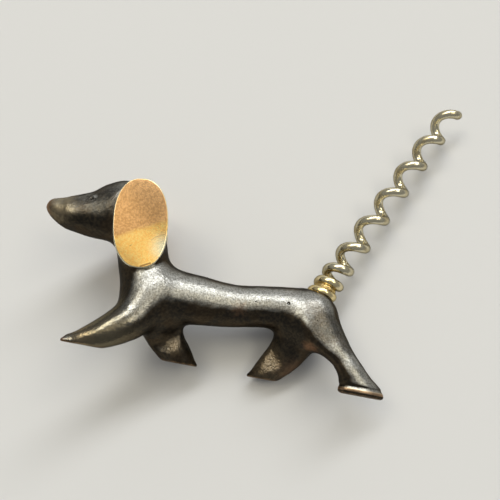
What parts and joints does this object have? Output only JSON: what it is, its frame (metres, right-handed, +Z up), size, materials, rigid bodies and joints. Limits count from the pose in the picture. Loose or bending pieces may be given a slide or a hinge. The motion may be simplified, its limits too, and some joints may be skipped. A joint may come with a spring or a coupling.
{
  "type": "figural corkscrew",
  "caption": "Corkscrew in the shape of a walking dachshund: a dark cast metal body as the handle, flat polished ear plates and an open wire worm as the raised tail.",
  "frame": {"origin": "on the ground plane under the four soles, halfway between the tip of the nose and the tip of the tail", "axes": "+X from the nose toward the tail, +Y toward the dog's right side, +Z up from the soles"},
  "size_m": [0.1214, 0.022, 0.0967],
  "materials": {
    "dark_patina": "dark patina over a copper alloy casting, rubbed bright along the ridges and worn to copper brown at the toes",
    "polished_copper": "flat, polished, finely scratched copper gold",
    "brass": "raw brazing brass",
    "worm_steel": "bright drawn wire, finely pitted"
  },
  "bodies": {
    "root": {"body_casting": "dark_patina", "ear_plate_left": "polished_copper", "ear_plate_right": "polished_copper", "ear_cross_pin": "brass", "tail_stud": "brass", "braze_collar": "brass", "worm": "worm_steel"}
  },
  "joints": []
}
